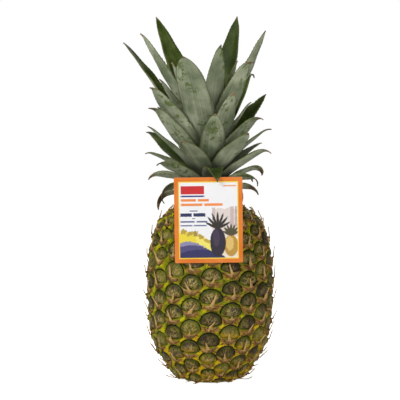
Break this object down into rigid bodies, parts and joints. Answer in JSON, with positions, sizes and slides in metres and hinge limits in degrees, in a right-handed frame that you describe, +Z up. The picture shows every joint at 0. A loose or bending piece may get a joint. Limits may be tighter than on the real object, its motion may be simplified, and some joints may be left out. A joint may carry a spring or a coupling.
{
  "type": "pineapple",
  "caption": "Fresh pineapple standing upright on its cut base: a ripening fruit with a rind of raised eyes, a tall spiny crown of leaves and a blank-lettered picture tag on its shoulder.",
  "frame": {"origin": "centre of the fruit's base on the surface it stands on, under the fruit's axis, which isn't quite the middle of the bounding box because the crown leans and spreads unevenly", "axes": "+Z up along the fruit's axis towards the crown, -Y is the front, where the tag is, +X to the right seen from the front"},
  "size_m": [0.1458, 0.1456, 0.3563],
  "materials": {
    "rind": "satin",
    "leaf_skin": "satin",
    "pith": "matte",
    "card": "satin"
  },
  "bodies": {
    "root": {"fruit_body": "rind", "cut_stalk": "pith", "crown_stem": "pith", "crown_leaf_01": "leaf_skin", "crown_leaf_02": "leaf_skin", "crown_leaf_03": "leaf_skin", "crown_leaf_04": "leaf_skin", "crown_leaf_05": "leaf_skin", "crown_leaf_06": "leaf_skin", "crown_leaf_07": "leaf_skin", "crown_leaf_08": "leaf_skin", "crown_leaf_09": "leaf_skin", "crown_leaf_10": "leaf_skin", "crown_leaf_11": "leaf_skin", "crown_leaf_12": "leaf_skin", "crown_leaf_13": "leaf_skin", "crown_leaf_14": "leaf_skin", "crown_leaf_15": "leaf_skin", "crown_leaf_16": "leaf_skin", "crown_leaf_17": "leaf_skin", "crown_leaf_18": "leaf_skin", "crown_leaf_19": "leaf_skin", "crown_leaf_20": "leaf_skin", "crown_leaf_21": "leaf_skin", "crown_leaf_22": "leaf_skin", "crown_leaf_23": "leaf_skin", "crown_leaf_24": "leaf_skin", "crown_leaf_25": "leaf_skin", "crown_leaf_26": "leaf_skin", "crown_leaf_27": "leaf_skin", "crown_leaf_28": "leaf_skin", "crown_leaf_29": "leaf_skin", "crown_leaf_30": "leaf_skin", "crown_leaf_31": "leaf_skin", "crown_leaf_32": "leaf_skin", "crown_leaf_33": "leaf_skin", "crown_leaf_34": "leaf_skin", "crown_leaf_35": "leaf_skin", "crown_leaf_36": "leaf_skin", "crown_leaf_37": "leaf_skin", "crown_leaf_38": "leaf_skin", "crown_leaf_39": "leaf_skin", "crown_leaf_40": "leaf_skin", "crown_leaf_41": "leaf_skin", "crown_leaf_42": "leaf_skin", "crown_leaf_43": "leaf_skin", "crown_leaf_44": "leaf_skin", "crown_leaf_45": "leaf_skin", "crown_leaf_46": "leaf_skin", "crown_leaf_47": "leaf_skin", "crown_leaf_48": "leaf_skin", "crown_leaf_49": "leaf_skin", "crown_leaf_50": "leaf_skin", "crown_leaf_51": "leaf_skin", "crown_leaf_52": "leaf_skin", "crown_leaf_53": "leaf_skin", "crown_leaf_54": "leaf_skin", "hang_tag": "card"}
  },
  "joints": []
}
